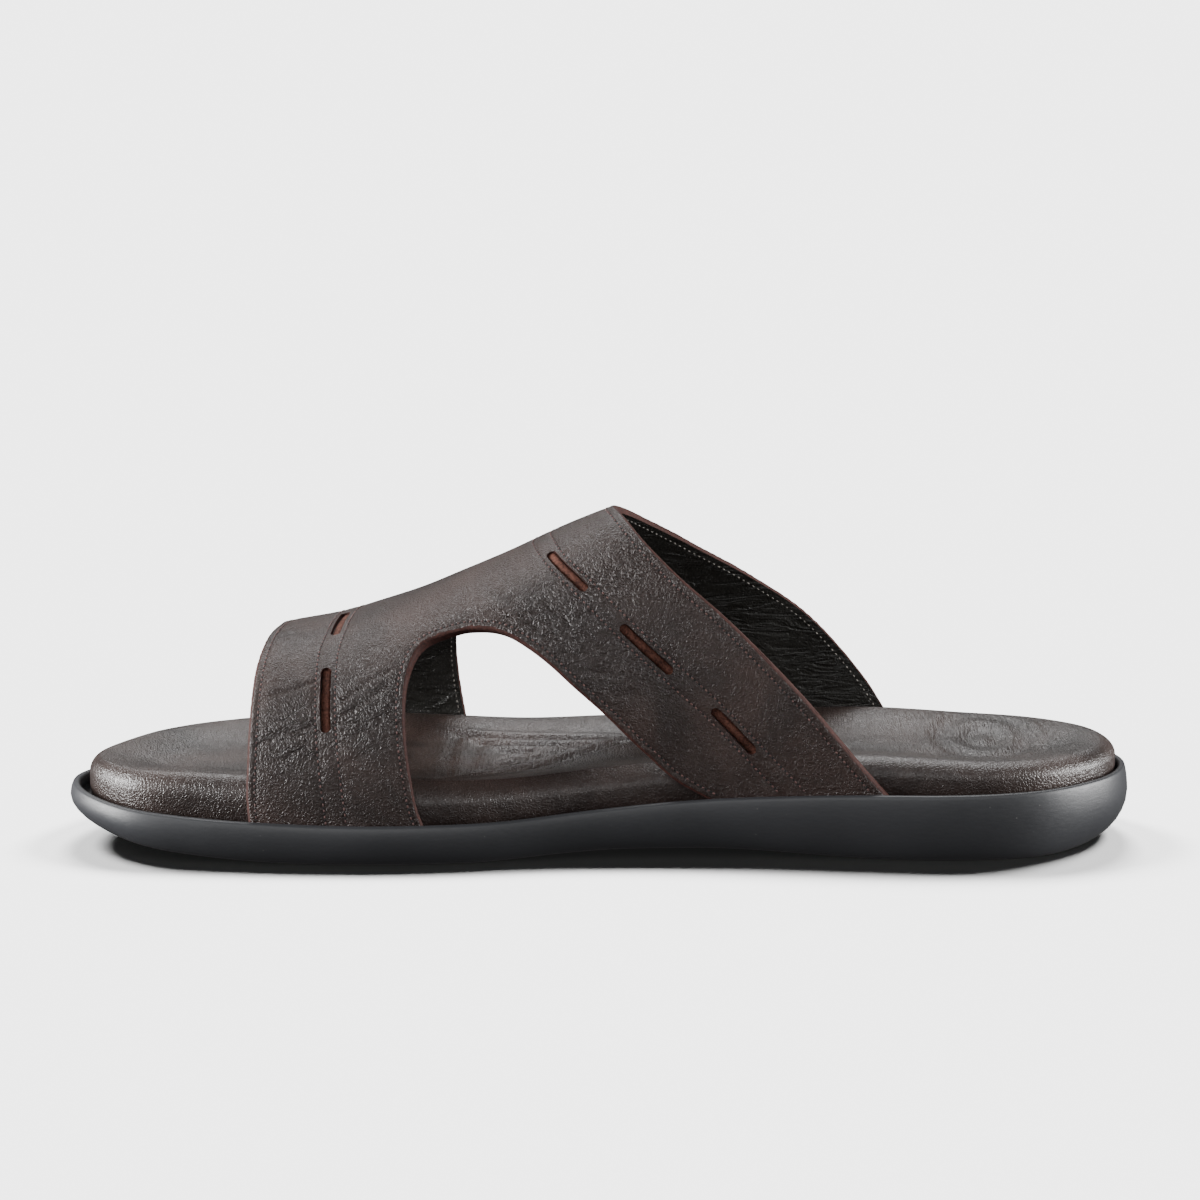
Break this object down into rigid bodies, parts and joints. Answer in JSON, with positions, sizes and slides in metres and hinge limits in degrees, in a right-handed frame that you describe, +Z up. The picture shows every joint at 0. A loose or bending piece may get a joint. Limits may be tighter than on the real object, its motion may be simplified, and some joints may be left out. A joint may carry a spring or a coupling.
{
  "type": "slide sandal",
  "caption": "Open slide sandal with a contoured padded footbed, a cup sole and a wide leather upper whose front and back straps join over the instep above side cut-outs.",
  "frame": {"origin": "bottom centre of the sandal's bounding box, on the floor it stands on", "axes": "+X along the sandal towards the heel (the toe is at -X), +Y towards the little-toe side, +Z up"},
  "size_m": [0.285, 0.102, 0.0883],
  "materials": {
    "outsole": "satin black moulded",
    "footbed": "semi-gloss dark brown, padded",
    "upper": "satin dark brown, fine grain",
    "front_lace_strip": "matt reddish brown",
    "back_lace_strip": "matt reddish brown"
  },
  "bodies": {
    "root": {"outsole": "outsole", "footbed": "footbed", "upper": "upper", "front_lace_strip": "front_lace_strip", "back_lace_strip": "back_lace_strip"}
  },
  "joints": []
}
